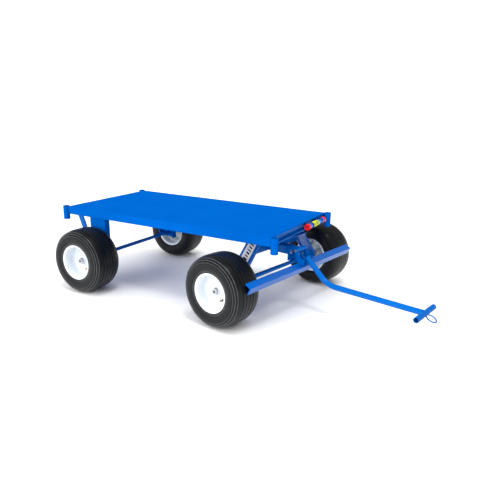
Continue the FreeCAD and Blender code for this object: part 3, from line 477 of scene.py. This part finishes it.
# ---------------------------------------------------------------- sticker on the right front leg
slope = math.radians(47)
down = Vector((0, -math.cos(slope), -math.sin(slope)))        # down the leg
outward = Vector((0, -math.sin(slope), math.cos(slope)))      # out of its web
leg_top = Vector((0, -0.209, 0.424))
middle = leg_top + down * 0.078


def panel(name, centre, width, length, thickness, material, lean=0.0):
    """A thin flat sticker on the leg's web.  Lean slants its ends, for a printed stroke."""
    a = Vector((1, 0, 0)) * width / 2
    b = down.normalized() * length / 2
    inward = a.cross(b).normalized()
    slant = down.normalized() * lean
    verts = []
    for up in (0, 1):
        for i, j in ((-1, -1), (1, -1), (1, 1), (-1, 1)):
            verts.append(centre + a * i + b * j + slant * i + inward * (-thickness * up))
    faces = [(3, 2, 1, 0), (4, 5, 6, 7), (0, 1, 5, 4), (1, 2, 6, 5), (2, 3, 7, 6), (3, 0, 4, 7)]
    add_object(name, new_mesh(name, verts, faces, material, False), "steering_frame", steered)


panel("leg_decal", middle + outward * 0.0002, 0.060, 0.128, 0.0004, PAPER)
BARS = ((0.030, 0.010), (0.024, 0.008), (0.024, 0.011), (0.032, 0.007), (0.024, 0.010), (0.034, 0.008))
for i, (wide, tall) in enumerate(BARS):
    at = middle + down * (0.047 - 0.0185 * i) + outward * 0.0007
    panel(f"leg_decal_bar_{i}", at + Vector((0.002, 0, 0)), wide, tall, 0.0003, INK, 0.006)

# ---------------------------------------------------------------- document holder's label and cap
holder = chassis @ Matrix.Translation((0.785, 0, 0.477))


def sleeve(name, radius, y0, y1, arc0, arc1, thickness, material, steps):
    """Part of a thin cylinder about +Y, as a label wrapped on the tube, between two angles in degrees."""
    arc0, arc1 = math.radians(arc0), math.radians(arc1)
    verts = []
    for i in range(steps + 1):
        t = arc0 + (arc1 - arc0) * i / steps
        for y, r in ((y0, radius), (y1, radius), (y1, radius + thickness), (y0, radius + thickness)):
            verts.append((r * math.cos(t), y, r * math.sin(t)))
    faces = grid_faces(steps + 1, 4)
    faces.append((0, 1, 2, 3))
    faces.append((steps * 4 + 3, steps * 4 + 2, steps * 4 + 1, steps * 4))
    add_object(name, new_mesh(name, verts, faces, material), "chassis", holder)


sleeve("holder_label", 0.0165, 0.115, 0.199, -80, 170, 0.0004, LABEL, 40)
for i in range(4):
    y = 0.128 + 0.017 * i
    sleeve(f"holder_label_line_{i}", 0.0169, y, y + (0.006 if i % 2 else 0.009), -10, 62, 0.0002, INK, 14)

# The cap's rings in darker red: painted shade in the grooves on its end.
cap_ring = thin_rings("cap_ring", [(0.0085, 0.0453, 0.0010), (0.0020, 0.0453, 0.0016)], SHADE_RED)
add_object("document_cap_ring", cap_ring, "document_cap", holder)

# ---------------------------------------------------------------- floor
FLOOR_HALF = 60.0
FLOOR = Nodes("floor_white")
FLOOR.base_colour(FLOOR.noise(1.5, 3.0), [(0.3, (0.92, 0.92, 0.92, 1)), (0.7, (0.94, 0.94, 0.94, 1))])
FLOOR.set(Roughness=0.9, Specular_IOR_Level=0.2)
floor_corners = [(i * FLOOR_HALF, j * FLOOR_HALF, 0) for i, j in ((-1, -1), (1, -1), (1, 1), (-1, 1))]
floor = bpy.data.objects.new("floor", new_mesh("floor", floor_corners, [(0, 1, 2, 3)], FLOOR.mat, False))
scene.collection.objects.link(floor)

# ---------------------------------------------------------------- sky: bright near the horizon, dimmer above
SKY_EDGE = 0.1775, 0.190             # the upward part of a direction, where the sky goes from low to high
SKY_STRENGTH = 1.06, 0.30            # below and above that edge

world = bpy.data.worlds.new("studio")
scene.world = world
world.use_nodes = True
sky_nodes, sky_links = world.node_tree.nodes, world.node_tree.links
sky = sky_nodes["Background"]
sky.inputs["Color"].default_value = (1.0, 1.0, 1.0, 1)
sky_coords = sky_nodes.new("ShaderNodeTexCoord")
sky_parts = sky_nodes.new("ShaderNodeSeparateXYZ")
sky_range = sky_nodes.new("ShaderNodeMapRange")
sky_range.inputs["From Min"].default_value, sky_range.inputs["From Max"].default_value = SKY_EDGE
sky_range.inputs["To Min"].default_value, sky_range.inputs["To Max"].default_value = SKY_STRENGTH
sky_links.new(sky_coords.outputs["Generated"], sky_parts.inputs["Vector"])
sky_links.new(sky_parts.outputs["Z"], sky_range.inputs["Value"])
sky_links.new(sky_range.outputs["Result"], sky.inputs["Strength"])


# ---------------------------------------------------------------- lamps
def soft_lamp(name, direction, level, width, mirrored):
    """A distant studio lamp, width degrees wide.  Direction points to it, level is its share of full white,
    and mirrored says whether gloss shows it."""
    data = bpy.data.lights.new(name, "SUN")
    data.energy = level * math.pi
    data.angle = math.radians(width)
    lamp = bpy.data.objects.new(name, data)
    scene.collection.objects.link(lamp)
    lamp.location = Vector(direction) * 5
    lamp.visible_glossy = mirrored
    lamp.rotation_mode = "QUATERNION"
    lamp.rotation_quaternion = (-Vector(direction)).to_track_quat("-Z", "Y")


soft_lamp("overhead", (-0.10, -0.10, 1.0), 0.86, 120, False)
soft_lamp("right_side", (-0.22, -0.92, 0.30), 0.74, 45, False)
soft_lamp("key", (0.24, -0.18, 0.94), 0.24, 15, True)

# ---------------------------------------------------------------- camera
CAMERA_AT = (1.9295 + DECK_X, -2.6936, 1.1903)
YAW, PITCH, ROLL = 2.101, 0.264, -0.011      # radians: heading from +X, downward tilt, roll
forward = Vector((math.cos(YAW) * math.cos(PITCH), math.sin(YAW) * math.cos(PITCH), -math.sin(PITCH)))
flat_right = Vector((math.sin(YAW), -math.cos(YAW), 0))
flat_down = forward.cross(flat_right)
picture_right = flat_right * math.cos(ROLL) + flat_down * math.sin(ROLL)
picture_down = flat_down * math.cos(ROLL) - flat_right * math.sin(ROLL)
lens = bpy.data.cameras.new("camera")
lens.sensor_width = 36.0
lens.lens = 38.26
lens.clip_end = 200
camera = bpy.data.objects.new("camera", lens)
scene.collection.objects.link(camera)
turn = Matrix((picture_right, -picture_down, -forward)).transposed()
camera.matrix_world = Matrix.Translation(CAMERA_AT) @ turn.to_4x4()
scene.camera = camera
scene.view_settings.view_transform = "Standard"
scene.view_settings.look = "None"
scene.view_settings.exposure = 0.0
